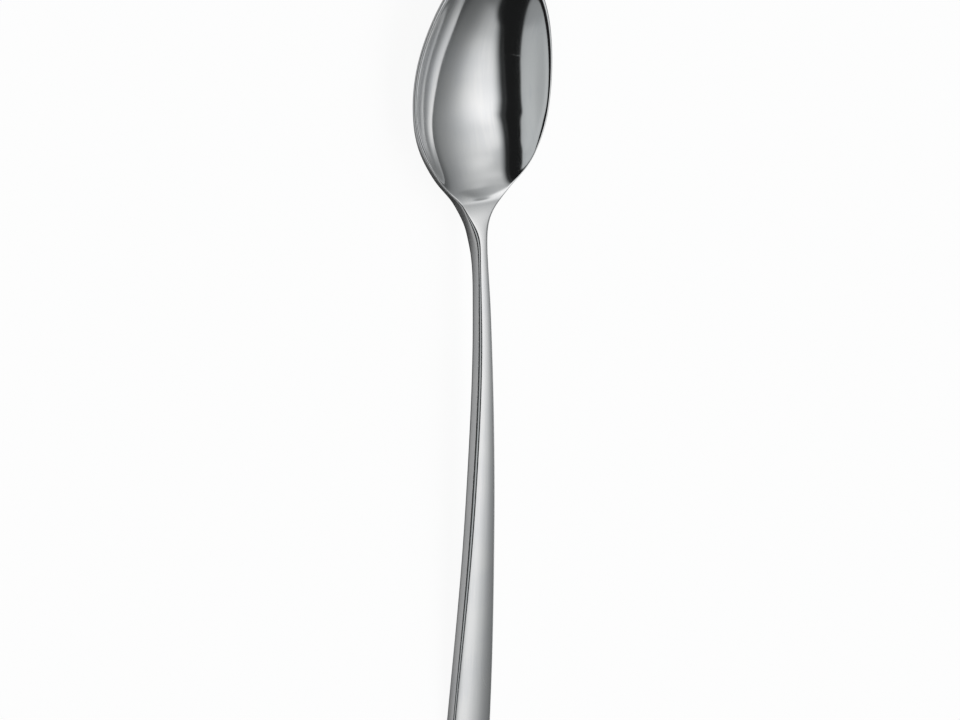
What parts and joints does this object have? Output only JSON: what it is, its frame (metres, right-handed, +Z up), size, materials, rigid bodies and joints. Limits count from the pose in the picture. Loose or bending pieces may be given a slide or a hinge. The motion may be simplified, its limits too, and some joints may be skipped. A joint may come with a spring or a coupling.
{
  "type": "tablespoon",
  "caption": "Tablespoon with a deep egg-shaped bowl, a slim square-edged neck and a long gently arched handle that widens towards its end.",
  "frame": {"origin": "on the table, midway between the tip of the bowl and the end of the handle, on the spoon's centre line", "axes": "+Y from the end of the handle to the tip of the bowl, +X to the right seen from above with the bowl's hollow up, +Z up out of the hollow"},
  "size_m": [0.042, 0.21, 0.0154],
  "materials": {
    "polished_steel": "mirror-polished stainless steel, solid and not plated, with a slightly softer polish on the handle"
  },
  "bodies": {
    "root": {"spoon": "polished_steel"}
  },
  "joints": []
}
